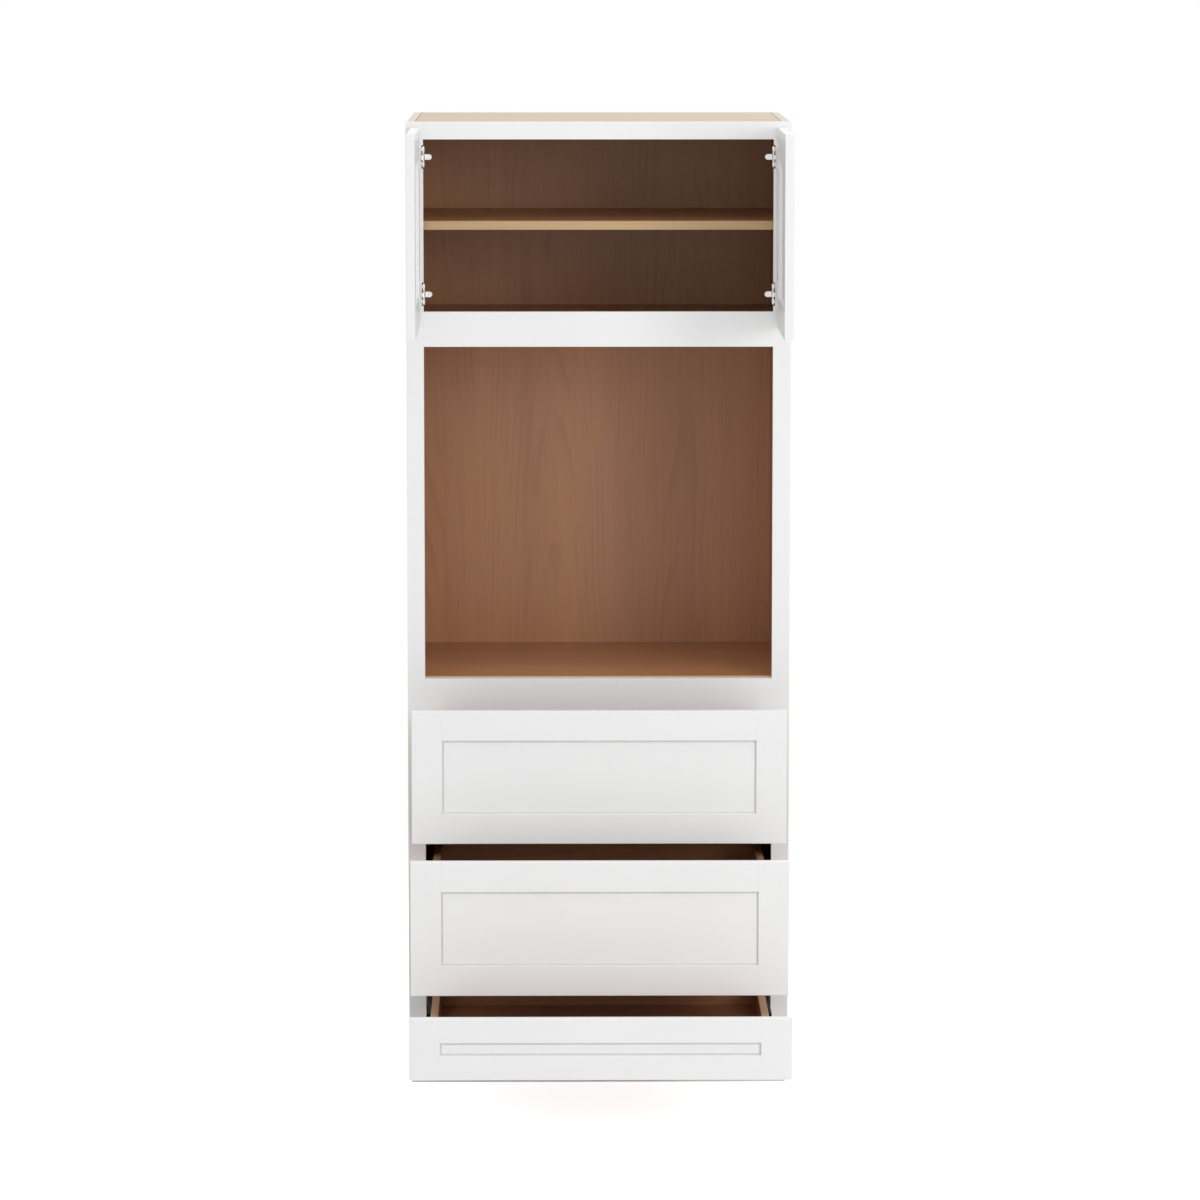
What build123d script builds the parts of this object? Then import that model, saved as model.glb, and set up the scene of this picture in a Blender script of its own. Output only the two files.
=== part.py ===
from build123d import *
import math
import os

# Face frame: its openings are stacked from the floor up
frame_width = 838.2
frame_thickness = 19.05
frame_stile_width = 38.1
toe_space_height = 114.3
bottom_rail_height = 38.1
bottom_opening_height = 95.25
drawer_rail_height = 38.1
middle_opening_height = 266.7
upper_opening_height = 247.65
oven_rail_height = 76.2
oven_opening_height = 730.25
door_opening_height = 374.65
top_rail_height = 38.1
tenon_length = 20.0
tenon_thickness = 9.5
tenon_shoulder = 6.0

# Case behind the frame: the wall is at y = 0 and the front faces -Y
cabinet_depth = 609.6
panel_thickness = 18.0
frame_overhang = 3.2
dado_depth = 6.0
back_panel_thickness = 6.0
hanging_rail_thickness = 18.0
hanging_rail_height = 89.0
wall_screw_spacing = 406.4
wall_screw_radius = 2.5
wall_screw_drop = 28.5
toe_recess = 50.8
toe_board_thickness = 18.0
upper_deck_drop = 24.0
oven_deck_rise = 3.0
oven_cleat_thickness = 18.0
oven_cleat_height = 38.0

# Adjustable shelf and its pins
shelf_height = 201.0
shelf_thickness = 19.05
shelf_setback = 10.0
shelf_side_gap = 1.5
shelf_back_gap = 3.0
pin_radius = 2.5
pin_hole_depth = 10.0
pin_hole_pitch = 32.0
pin_hole_count = 5
pin_inset_from_shelf_edge = 40.0
pin_pad_length = 11.0
pin_pad_width = 12.0
pin_pad_thickness = 2.0

# Doors and drawer fronts
front_gap = 3.0
front_thickness = 19.05
front_stile_width = 65.5
front_rail_width = 65.5
shallow_rail_width = 52.8
bevel_width = 1.2
front_panel_recess = 4.75
front_panel_thickness = 6.35
panel_quirk_width = 2.8
panel_quirk_depth = 3.2
front_groove_depth = 10.0
front_panel_float = 1.0
edge_ease = 1.2
outer_overlay = 25.4
oven_rail_overlay = 31.75
drawer_overlay = 12.7
door_meeting_gap = 3.2
door_rest_angle = 90.0
bumper_radius = 4.0
bumper_thickness = 2.4
bumper_inset = 12.0

# Concealed hinges
hinge_from_top = 63.5
hinge_from_bottom = 70.0
hinge_pin_inset = 7.5
hinge_pin_depth = 10.3
hinge_pin_radius = 1.25
hinge_pin_length = 15.2
hinge_pin_clearance = 0.05
hinge_eye_wall = 1.0
neck_thickness = 2.0
neck_height = 9.0
neck_side_gap = 0.5
neck_run = 9.5
neck_dip = 2.6
neck_bend_radius = 1.5
neck_stand_off = 4.1
arm_height = 12.0
arm_reach = 19.0
arm_length = 22.0
hinge_plate_height = 46.0
hinge_plate_length = 17.0
hinge_plate_thickness = 3.6
hinge_plate_projection = 2.6
hinge_pad_radius = 5.0
hinge_recess_depth = 3.5
hinge_recess_height = 51.0
hinge_screw_spacing = 32.0
cup_radius = 17.5
cup_edge_distance = 3.5
cup_depth = 15.0
cup_wall = 0.7
cup_cheek_start = 8.0
flange_thickness = 1.2
flange_rim = 1.0
flange_wing_width = 18.0
flange_wing_length = 62.0
flange_corner_radius = 5.0
cup_screw_spacing = 45.0
cup_screw_offset = 9.5

# Drawers: opening is how far each one stands out at rest
upper_drawer_open = 165.0
middle_drawer_open = 318.0
bottom_drawer_open = 497.0
deep_box_height = 222.25
shallow_box_height = 66.7
box_lift = 9.5
box_wall = 16.0
box_bottom_thickness = 6.0
box_bottom_lift = 12.0
box_groove_depth = 6.0
dovetail_pitch = 36.0
dovetail_pin_width = 12.0
dovetail_slope = 0.125

# Drawer slides: three nested steel channels on each side
slide_length = 533.4
slide_thickness = 12.7
slide_spacing = 4.3
slide_rise = 33.35
slide_steel = 1.2
outer_channel_height = 45.0
outer_channel_reach = 10.2
outer_channel_lip = 1.6
middle_channel_height = 38.4
middle_channel_start = 3.0
middle_channel_reach = 10.4
middle_channel_lip = 1.5
inner_channel_height = 32.0
inner_channel_start = 5.4
middle_channel_shortening = 6.0
slide_cleat_height = 64.0
slide_strip_height = 38.0
slide_screw_first = 37.0
slide_screw_pitch = 192.0
slide_screw_count = 3

# Wood screws
screw_radius = 1.75
screw_head_radius = 3.5
screw_head_height = 1.2
screw_length = 14.0

# Levels above the floor
bottom_opening_low = toe_space_height + bottom_rail_height
bottom_opening_high = bottom_opening_low + bottom_opening_height
middle_opening_low = bottom_opening_high + drawer_rail_height
middle_opening_high = middle_opening_low + middle_opening_height
upper_opening_low = middle_opening_high + drawer_rail_height
upper_opening_high = upper_opening_low + upper_opening_height
oven_opening_low = upper_opening_high + oven_rail_height
oven_opening_high = oven_opening_low + oven_opening_height
door_opening_low = oven_opening_high + oven_rail_height
door_opening_high = door_opening_low + door_opening_height
cabinet_height = door_opening_high + top_rail_height
upper_deck_top = door_opening_low - upper_deck_drop
oven_deck_top = oven_opening_low + oven_deck_rise
bottom_deck_top = toe_space_height + panel_thickness
shelf_low = upper_deck_top + shelf_height

# Distances from the middle, to the right
frame_half = frame_width / 2
opening_half = frame_half - frame_stile_width
side_outer = frame_half - frame_overhang
side_inner = side_outer - panel_thickness
front_half = opening_half + outer_overlay
slide_half = opening_half - slide_spacing
box_half = slide_half - slide_thickness
hinge_plate_face = opening_half - hinge_plate_projection
hinge_recess_face = opening_half + hinge_recess_depth

# Distances from the wall, all negative
frame_front = -cabinet_depth
frame_back = frame_front + frame_thickness
back_panel_rear = -hanging_rail_thickness
case_rear = back_panel_rear - back_panel_thickness
toe_board_front = frame_front + toe_recess
toe_board_rear = toe_board_front + toe_board_thickness
fronts_closed = frame_front - front_gap

# Panels of the fronts: distances from the back of the front
front_panel_front = front_thickness - front_panel_recess
front_panel_back = front_panel_front - front_panel_thickness
panel_tongue_front = front_panel_front - panel_quirk_depth

# Doors and their hinge axis
door_low = door_opening_low - oven_rail_overlay
door_high = door_opening_high + outer_overlay
door_height = door_high - door_low
door_width = front_half - door_meeting_gap / 2
hinge_axis_x = front_half - hinge_pin_inset
hinge_axis_y = fronts_closed - hinge_pin_depth
hinge_levels = (door_low + hinge_from_bottom, door_high - hinge_from_top)
cup_centre = cup_radius + cup_edge_distance


def finish(piece, name):
    """Labels a finished piece and writes it to its own file."""
    piece.part.label = name
    export_step(piece.part, f"parts/{name}.step")


def finish_pair(piece, name):
    """Writes a piece of the right-hand side and its mirror image on the left."""
    with BuildPart() as twin:
        mirror(piece.part, about=Plane.YZ)
    finish(piece, f"right_{name}")
    finish(twin, f"left_{name}")


def draw_rectangle(low, high):
    """Draws a rectangle in the open sketch between two opposite corners."""
    with Locations(((low[0] + high[0]) / 2, (low[1] + high[1]) / 2)):
        Rectangle(high[0] - low[0], high[1] - low[1])


def make_level_board(half_width, y_limits, low, thickness):
    """A board that lies flat, centred across the cabinet."""
    with BuildPart() as board:
        with BuildSketch(Plane.XY.offset(low)):
            draw_rectangle((-half_width, y_limits[0]), (half_width, y_limits[1]))
        extrude(amount=thickness)
    return board


def make_upright_board(half_width, z_limits, rear, thickness):
    """A board that stands parallel to the wall, centred across the cabinet."""
    with BuildPart() as board:
        with BuildSketch(Plane.XZ.offset(-rear)):
            draw_rectangle((-half_width, z_limits[0]), (half_width, z_limits[1]))
        extrude(amount=thickness)
    return board


def make_cleats(thickness, bands):
    """Strips along both side panels, one pair for each (low, high) band of heights."""
    with BuildPart() as cleats:
        with BuildSketch(Plane.XZ.offset(-case_rear)):
            for low, high in bands:
                draw_rectangle((side_inner - thickness, low), (side_inner, high))
        extrude(amount=case_rear - frame_back)
        mirror(about=Plane.YZ)
    return cleats


def cut_to_fit(piece, *mating_pieces):
    """Cuts the room for its mating pieces out of a piece."""
    with BuildPart() as fitted:
        add(piece.part)
        for mating_piece in mating_pieces:
            add(mating_piece.part, mode=Mode.SUBTRACT)
    return fitted


def add_screws(seats):
    """Adds pan-head screws to the open part: the heads stand on the seat planes, the shanks point down."""
    with Locations(*seats):
        Cylinder(screw_head_radius, screw_head_height, align=(Align.CENTER, Align.CENTER, Align.MIN))
        Cylinder(screw_radius, screw_length, align=(Align.CENTER, Align.CENTER, Align.MAX))


# Case
def make_hanging_rails():
    """Three rails behind the back panel: the upper two take the wall screws, the lowest is at the floor."""
    top_band = (cabinet_height - panel_thickness - hanging_rail_height, cabinet_height - panel_thickness)
    oven_band = (
        oven_deck_top - panel_thickness - hanging_rail_height,
        oven_deck_top - panel_thickness,
    )
    floor_band = (0, bottom_deck_top)
    with BuildPart() as rails:
        with BuildSketch(Plane.XZ):
            for low, high in (top_band, oven_band, floor_band):
                draw_rectangle((-side_inner, low), (side_inner, high))
        extrude(amount=hanging_rail_thickness)
        drill_wall_screw_holes(top_band, oven_band)
    return rails, top_band, oven_band


def drill_wall_screw_holes(*bands):
    """Drills a pair of wall screw holes through the open part, a little below the top of each band."""
    wall_points = [
        Plane((side * wall_screw_spacing / 2, 0, high - wall_screw_drop), z_dir=(0, 1, 0))
        for low, high in bands
        for side in (-1, 1)
    ]
    with Locations(*wall_points):
        Hole(wall_screw_radius, depth=-case_rear)


def make_side_panel(let_in):
    """Right side panel with its toe notch, the housings of the boards let into it and the shelf pin holes."""
    with BuildPart() as side:
        with BuildSketch(Plane.YZ.offset(side_inner)):
            Polygon(
                (toe_board_rear, 0),
                (0, 0),
                (0, cabinet_height),
                (frame_back, cabinet_height),
                (frame_back, toe_space_height),
                (toe_board_rear, toe_space_height),
            )
        extrude(amount=panel_thickness)
        for board in let_in:
            add(board.part, mode=Mode.SUBTRACT)
        with BuildSketch(Plane.YZ.offset(side_inner)):
            for y in shelf_pin_rows:
                with Locations((y, shelf_pin_level)):
                    with GridLocations(0, pin_hole_pitch, 1, pin_hole_count):
                        Circle(pin_radius)
        extrude(amount=pin_hole_depth, mode=Mode.SUBTRACT)
    return side


def make_shelf_pins():
    """Four pins, each with a flat pad that the shelf lies on."""
    with BuildPart() as pins:
        with BuildSketch(Plane.YZ.offset(side_inner - pin_pad_length)):
            for y in shelf_pin_rows:
                with Locations((y, shelf_pin_level)):
                    Circle(pin_radius)
        extrude(amount=pin_pad_length + pin_hole_depth)
        with BuildSketch(Plane.YZ.offset(side_inner - pin_pad_length)):
            for y in shelf_pin_rows:
                draw_rectangle(
                    (y - pin_pad_width / 2, shelf_low - pin_pad_thickness),
                    (y + pin_pad_width / 2, shelf_low),
                )
        extrude(amount=pin_pad_length)
        mirror(about=Plane.YZ)
    return pins


# Face frame
def make_frame_rails(*bands):
    """Rails of the face frame with a tenon at each end, one for each (low, high) band of heights."""
    with BuildPart() as rails:
        with BuildSketch(Plane.XZ.offset(-frame_back)):
            for low, high in bands:
                draw_rectangle((-opening_half, low), (opening_half, high))
        extrude(amount=frame_thickness)
        tenon_half = opening_half + tenon_length
        with BuildSketch(Plane.XZ.offset(-frame_back + frame_thickness / 2)):
            for low, high in bands:
                draw_rectangle((-tenon_half, low + tenon_shoulder), (tenon_half, high - tenon_shoulder))
        extrude(amount=tenon_thickness / 2, both=True)
    return rails


def make_frame_stile(rails, screws):
    """Right stile of the face frame, cut back behind the hinge plates, mortised and drilled."""
    with BuildPart() as stile:
        with BuildSketch(Plane.XZ.offset(-frame_back)):
            draw_rectangle((opening_half, toe_space_height), (frame_half, cabinet_height))
            for level in hinge_levels:
                with Locations((opening_half, level)):
                    Rectangle(2 * hinge_recess_depth, hinge_recess_height, mode=Mode.SUBTRACT)
        extrude(amount=frame_thickness)
    return cut_to_fit(stile, *rails, screws)


# Panelled fronts
def draw_member_profile(face_width):
    """Section of a stile or rail: its outer edge is at 0, its bevelled and grooved edge is inside."""
    inner = face_width + bevel_width
    groove_bottom = inner - front_groove_depth
    Polygon(
        (0, 0),
        (inner, 0),
        (inner, front_panel_back),
        (groove_bottom, front_panel_back),
        (groove_bottom, panel_tongue_front),
        (inner, panel_tongue_front),
        (inner, front_panel_front),
        (face_width, front_thickness),
        (edge_ease, front_thickness),
        (0, front_thickness - edge_ease),
    )


def make_front_stiles(base, width, height):
    """The two stiles of a front. The base plane starts at its low left corner: x across, y up, z outwards."""
    across = Axis(base.origin, base.x_dir)
    upwards = Axis(base.origin, base.y_dir)
    outwards = Axis(base.origin, base.z_dir)
    with BuildPart() as stiles:
        with BuildSketch(Plane(base.origin, x_dir=base.x_dir, z_dir=-base.y_dir)):
            draw_member_profile(front_stile_width)
        extrude(amount=-height)
        ends = stiles.faces().filter_by(upwards)
        front_end_edges = [end.edges().filter_by(across).sort_by(outwards)[-1] for end in ends]
        chamfer(front_end_edges, length=edge_ease)
        middle = base.origin + base.x_dir * (width / 2)
        mirror(about=Plane(middle, x_dir=base.y_dir, z_dir=base.x_dir))
    return stiles


def make_front_rails(base, width, height, rail_width, stiles):
    """The two rails of a front, coped over the stiles' bevels and tongued into their grooves."""
    start = front_stile_width + bevel_width - front_groove_depth
    with BuildPart() as rails:
        rail_start = base.origin + base.x_dir * start
        with BuildSketch(Plane(rail_start, x_dir=base.y_dir, z_dir=base.x_dir)):
            draw_member_profile(rail_width)
        extrude(amount=width - 2 * start)
        add(stiles.part, mode=Mode.SUBTRACT)
        middle = base.origin + base.y_dir * (height / 2)
        mirror(about=Plane(middle, x_dir=base.x_dir, z_dir=base.y_dir))
    return rails


def make_front_panel(base, width, height, rail_width):
    """The flat panel: its tongue floats in the grooves, a narrow quirk parts its face from the frame."""
    tongue_reach = bevel_width - front_groove_depth + front_panel_float
    face_inset = bevel_width + panel_quirk_width
    with BuildPart() as panel:
        for reach, thickness in (
            (tongue_reach, front_panel_thickness - panel_quirk_depth),
            (face_inset, front_panel_thickness),
        ):
            side_start = front_stile_width + reach
            low_start = rail_width + reach
            with BuildSketch(base.offset(front_panel_back)):
                draw_rectangle((side_start, low_start), (width - side_start, height - low_start))
            extrude(amount=thickness)
    return panel


# Concealed hinges
def make_hinge_plates():
    """Plates at the recesses of the frame stiles, two on each side, held off by a pad at either screw."""
    with BuildPart() as plates:
        with BuildSketch(Plane.YZ.offset(hinge_plate_face)):
            for level in hinge_levels:
                with Locations((hinge_plate_middle, level)):
                    RectangleRounded(hinge_plate_length, hinge_plate_height, screw_head_radius)
        extrude(amount=hinge_plate_thickness)
        with Locations(*hinge_screw_seats()):
            Cylinder(
                hinge_pad_radius,
                hinge_recess_face - hinge_plate_face,
                align=(Align.CENTER, Align.CENTER, Align.MAX),
            )
        mirror(about=Plane.YZ)
    return plates


def make_hinge_arms():
    """Arms that clip on the plates and reach into the cups with a bent neck and an eye."""
    neck_x = opening_half - neck_stand_off
    arm_tip = opening_half - arm_reach
    arm_root = hinge_plate_face
    with BuildPart() as arms:
        for level in hinge_levels:
            with BuildSketch(Plane.XY.offset(level - neck_height / 2)):
                with BuildLine():
                    FilletPolyline(
                        (hinge_axis_x, hinge_axis_y),
                        (hinge_axis_x - neck_run, hinge_axis_y - neck_dip),
                        (neck_x + 2 * neck_thickness, hinge_axis_y - neck_dip),
                        (neck_x, hinge_axis_y + neck_bend_radius),
                        (neck_x, frame_front + neck_thickness),
                        radius=neck_bend_radius,
                    )
                trace(line_width=neck_thickness)
                with Locations((hinge_axis_x, hinge_axis_y)):
                    Circle(hinge_pin_radius + hinge_pin_clearance + hinge_eye_wall)
                    Circle(hinge_pin_radius + hinge_pin_clearance, mode=Mode.SUBTRACT)
            extrude(amount=neck_height)
            with BuildSketch(Plane.XZ.offset(-frame_front)):
                draw_rectangle(
                    (arm_tip + arm_height / 2, level - arm_height / 2),
                    (arm_root, level + arm_height / 2),
                )
                with Locations((arm_tip + arm_height / 2, level)):
                    Circle(arm_height / 2)
            extrude(amount=-arm_length)
        mirror(about=Plane.YZ)
    return arms


def hinge_screw_seats():
    """Planes on the faces of the right-hand hinge plates, where their screw heads stand."""
    return [
        Plane(
            (hinge_plate_face, hinge_plate_middle, level + side * hinge_screw_spacing / 2),
            z_dir=(-1, 0, 0),
        )
        for level in hinge_levels
        for side in (-1, 1)
    ]


def make_hinge_cups(base, fixings):
    """Cups let into the back of the door, each with a winged flange and two cheeks that hold the pin."""
    cup_x = door_width - cup_centre
    hollow_radius = cup_radius - cup_wall
    slot_half = neck_height / 2 + neck_side_gap
    with BuildPart() as cups:
        for level in hinge_levels:
            cup_y = level - door_low
            with BuildSketch(base):
                with Locations((cup_x, cup_y)):
                    Circle(cup_radius)
            extrude(amount=cup_depth)
            with BuildSketch(base):
                with Locations((cup_x, cup_y)):
                    Circle(cup_radius + flange_rim)
                with Locations((cup_x - cup_screw_offset, cup_y)):
                    RectangleRounded(flange_wing_width, flange_wing_length, flange_corner_radius)
            extrude(amount=-flange_thickness)
            with BuildSketch(base.offset(-flange_thickness)):
                with Locations((cup_x, cup_y)):
                    Circle(hollow_radius)
                for low, high in ((-cup_radius, -slot_half), (slot_half, cup_radius)):
                    with Locations((cup_x + (cup_cheek_start + cup_radius) / 2, cup_y + (low + high) / 2)):
                        Rectangle(cup_radius - cup_cheek_start, high - low, mode=Mode.SUBTRACT)
            extrude(amount=flange_thickness + cup_depth - cup_wall, mode=Mode.SUBTRACT)
        add(fixings.part, mode=Mode.SUBTRACT)
    return cups


def cup_screw_seats(base):
    """Planes on the flanges of the cups, where their screw heads stand."""
    flange_face = base.offset(-flange_thickness)
    across = door_width - cup_centre - cup_screw_offset
    return [
        Plane(
            flange_face.from_local_coords((across, level - door_low + side * cup_screw_spacing / 2, 0)),
            z_dir=-base.z_dir,
        )
        for level in hinge_levels
        for side in (-1, 1)
    ]


def make_hinge_fixings(base):
    """The hinge pins, and two screws through the flange of each cup."""
    with BuildPart() as fixings:
        for level in hinge_levels:
            with BuildSketch(Plane.XY.offset(level)):
                with Locations((hinge_axis_x, hinge_axis_y)):
                    Circle(hinge_pin_radius)
            extrude(amount=hinge_pin_length / 2, both=True)
        add_screws(cup_screw_seats(base))
    return fixings


# Doors
def door_plane():
    """Back face of the right door, turned about the hinge axis to where it stands at rest."""
    angle = math.radians(door_rest_angle)
    across = Vector(math.cos(angle), math.sin(angle), 0)
    outward = Vector(math.sin(angle), -math.cos(angle), 0)
    pin = Vector(hinge_axis_x, hinge_axis_y, door_low)
    corner = pin - across * (door_width - hinge_pin_inset) - outward * hinge_pin_depth
    return Plane(corner, x_dir=across, z_dir=outward)


def make_door():
    """Writes both doors: the right one is modelled, the left one is its mirror image."""
    base = door_plane()
    fixings = make_hinge_fixings(base)
    cups = make_hinge_cups(base, fixings)
    with BuildPart() as stiles:
        add(make_front_stiles(base, door_width, door_height).part)
        with BuildSketch(base):
            for level in hinge_levels:
                with Locations((door_width - cup_centre, level - door_low)):
                    Circle(cup_radius)
        extrude(amount=cup_depth, mode=Mode.SUBTRACT)
        add(fixings.part, mode=Mode.SUBTRACT)
    rails = make_front_rails(base, door_width, door_height, front_rail_width, stiles)
    panel = make_front_panel(base, door_width, door_height, front_rail_width)
    with BuildPart() as bumpers:
        with BuildSketch(base):
            for level in (bumper_inset, door_height - bumper_inset):
                with Locations((bumper_inset, level)):
                    Circle(bumper_radius)
        extrude(amount=-bumper_thickness)
        outer_rims = bumpers.faces().filter_by(Axis(base.origin, base.z_dir)).group_by(
            Axis(base.origin, base.z_dir)
        )[0].edges()
        fillet(outer_rims, radius=bumper_thickness / 2)
    finish_pair(stiles, "door_stiles")
    finish_pair(rails, "door_rails")
    finish_pair(panel, "door_panel")
    finish_pair(cups, "door_hinge_cups")
    finish_pair(fixings, "door_hinge_fixings")
    finish_pair(bumpers, "door_bumpers")


# Drawer slides
def draw_channel(web_at, lips_at, height, lip):
    """Section of a slide channel: distances run inwards from where the slide is mounted."""
    step = math.copysign(slide_steel, lips_at - web_at)
    flange_top = height / 2
    flange_bottom = flange_top - slide_steel
    Polygon(
        (-web_at, 0),
        (-web_at, flange_top),
        (-lips_at, flange_top),
        (-lips_at, flange_bottom - lip),
        (-lips_at + step, flange_bottom - lip),
        (-lips_at + step, flange_bottom),
        (-web_at - step, flange_bottom),
        (-web_at - step, 0),
    )
    mirror(about=Plane.XZ)


def make_channels(web_at, lips_at, height, lip, middles, front, length):
    """Slide channels on both sides, one pair at each height, running back from their front end."""
    with BuildPart() as channels:
        for middle_z in middles:
            with BuildSketch(Plane((slide_half, front, middle_z), x_dir=(1, 0, 0), z_dir=(0, -1, 0))):
                draw_channel(web_at, lips_at, height, lip)
            extrude(amount=-length)
        mirror(about=Plane.YZ)
    return channels


def slide_screw_seats(middles):
    """Planes on the webs of the right-hand cabinet members, where their screw heads stand."""
    seat_x = slide_half - slide_steel
    return [
        Plane((seat_x, frame_front + slide_screw_first + i * slide_screw_pitch, middle_z), z_dir=(-1, 0, 0))
        for middle_z in middles
        for i in range(slide_screw_count)
    ]


# Drawers
def make_box_bottom(box_front, box_rear, low):
    """The drawer's bottom, let into the grooves of the sides and ends."""
    reach = box_wall - box_groove_depth
    limits = (box_front + reach, box_rear - reach)
    return make_level_board(box_half - reach, limits, low + box_bottom_lift, box_bottom_thickness)


def make_box_sides(box_front, box_rear, low, height, bottom):
    """The drawer's sides, with dovetail tails at both ends and a groove for the bottom."""
    tail_count = max(1, round(height / dovetail_pitch))
    tail_step = height / tail_count
    narrow_half = dovetail_pin_width / 2
    wide_half = narrow_half + box_wall * dovetail_slope
    with BuildPart() as sides:
        with BuildSketch(Plane.YZ.offset(box_half - box_wall)):
            draw_rectangle((box_front, low), (box_rear, low + height))
        extrude(amount=box_wall)
        for end, inwards in ((box_front, box_wall), (box_rear, -box_wall)):
            with BuildSketch(Plane.YZ.offset(box_half - box_wall)):
                for i in range(tail_count + 1):
                    pin_z = low + i * tail_step
                    Polygon(
                        (end, pin_z - narrow_half),
                        (end, pin_z + narrow_half),
                        (end + inwards, pin_z + wide_half),
                        (end + inwards, pin_z - wide_half),
                    )
            extrude(amount=box_wall, mode=Mode.SUBTRACT)
        mirror(about=Plane.YZ)
        add(bottom.part, mode=Mode.SUBTRACT)
    return sides


def make_box_ends(box_front, box_rear, low, height, sides, bottom):
    """The drawer's front and back ends, cut to the sides' dovetails."""
    with BuildPart() as ends:
        with BuildSketch(Plane.XY.offset(low)):
            draw_rectangle((-box_half, box_front), (box_half, box_front + box_wall))
            draw_rectangle((-box_half, box_rear - box_wall), (box_half, box_rear))
        extrude(amount=height)
        add(sides.part, mode=Mode.SUBTRACT)
        add(bottom.part, mode=Mode.SUBTRACT)
    return ends


def make_drawer(name, opening_low, front_low, front_high, rail_width, box_height, open_by):
    """Writes one drawer: its panelled front, its box and the slide members that travel with it."""
    front_back = fronts_closed - open_by
    base = Plane((-front_half, front_back, front_low), x_dir=(1, 0, 0), z_dir=(0, -1, 0))
    front_width = 2 * front_half
    front_height = front_high - front_low
    stiles = make_front_stiles(base, front_width, front_height)
    finish(stiles, f"{name}_front_stiles")
    finish(make_front_rails(base, front_width, front_height, rail_width, stiles), f"{name}_front_rails")
    finish(make_front_panel(base, front_width, front_height, rail_width), f"{name}_front_panel")

    box_low = opening_low + box_lift
    box_rear = front_back + slide_length + front_gap
    bottom = make_box_bottom(front_back, box_rear, box_low)
    sides = make_box_sides(front_back, box_rear, box_low, box_height, bottom)
    finish(bottom, f"{name}_box_bottom")
    finish(sides, f"{name}_box_sides")
    finish(make_box_ends(front_back, box_rear, box_low, box_height, sides, bottom), f"{name}_box_ends")

    middle_z = (box_low + slide_rise,)
    drawer_members = make_channels(
        slide_thickness, inner_channel_start, inner_channel_height, 0, middle_z,
        frame_front - open_by, slide_length,
    )
    finish(drawer_members, f"{name}_slide_members")
    middle_members = make_channels(
        middle_channel_start, middle_channel_reach, middle_channel_height, middle_channel_lip, middle_z,
        frame_front + middle_channel_shortening / 2 - open_by / 2, slide_length - middle_channel_shortening,
    )
    finish(middle_members, f"{name}_middle_members")


os.makedirs("parts", exist_ok=True)

shelf_pin_level = shelf_low - pin_radius
shelf_front = frame_back + shelf_setback
shelf_rear = case_rear - shelf_back_gap
shelf_pin_rows = (shelf_front + pin_inset_from_shelf_edge, shelf_rear - pin_inset_from_shelf_edge)
hinge_plate_middle = frame_front + frame_thickness / 2
slide_middles = [
    opening_low + box_lift + slide_rise
    for opening_low in (bottom_opening_low, middle_opening_low, upper_opening_low)
]

# Screws of the fixed side: hinge plates and cabinet slide members
with BuildPart() as mounting_screws:
    add_screws(hinge_screw_seats() + slide_screw_seats(slide_middles))
    mirror(about=Plane.YZ)
finish(mounting_screws, "mounting_screws")

# Case
let_in_half = side_inner + dado_depth
top_panel = make_level_board(side_inner, (frame_back, 0), cabinet_height - panel_thickness, panel_thickness)
finish(top_panel, "top_panel")
deck_limits = (frame_back, case_rear)
upper_deck = make_level_board(let_in_half, deck_limits, upper_deck_top - panel_thickness, panel_thickness)
finish(upper_deck, "upper_deck")
oven_deck = make_level_board(side_inner, deck_limits, oven_deck_top - panel_thickness, panel_thickness)
finish(oven_deck, "oven_deck")
bottom_deck = make_level_board(let_in_half, deck_limits, toe_space_height, panel_thickness)
finish(bottom_deck, "bottom_deck")

hanging_rails, top_rail_band, oven_rail_band = make_hanging_rails()
finish(hanging_rails, "hanging_rails")
back_band = (toe_space_height, cabinet_height - panel_thickness)
with BuildPart() as back_panel:
    add(make_upright_board(let_in_half, back_band, back_panel_rear, back_panel_thickness).part)
    drill_wall_screw_holes(top_rail_band, oven_rail_band)
finish(back_panel, "back_panel")
toe_kick_board = make_upright_board(side_outer, (0, toe_space_height), toe_board_rear, toe_board_thickness)
finish(toe_kick_board, "toe_kick_board")
finish_pair(make_side_panel((upper_deck, bottom_deck, back_panel)), "side_panel")

# Cleats
oven_cleat_high = oven_deck_top - panel_thickness
oven_deck_cleats = make_cleats(oven_cleat_thickness, [(oven_cleat_high - oven_cleat_height, oven_cleat_high)])
finish(oven_deck_cleats, "oven_deck_cleats")
with BuildPart() as slide_cleats:
    for cleat_thickness, cleat_height in (
        (side_inner - opening_half, slide_cleat_height),
        (side_inner - slide_half, slide_strip_height),
    ):
        cleat_bands = [(z - cleat_height / 2, z + cleat_height / 2) for z in slide_middles]
        add(make_cleats(cleat_thickness, cleat_bands).part)
finish(cut_to_fit(slide_cleats, mounting_screws), "slide_cleats")

# Shelf
adjustable_shelf = make_level_board(
    side_inner - shelf_side_gap, (shelf_front, shelf_rear), shelf_low, shelf_thickness
)
finish(adjustable_shelf, "adjustable_shelf")
finish(make_shelf_pins(), "shelf_pins")

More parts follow.
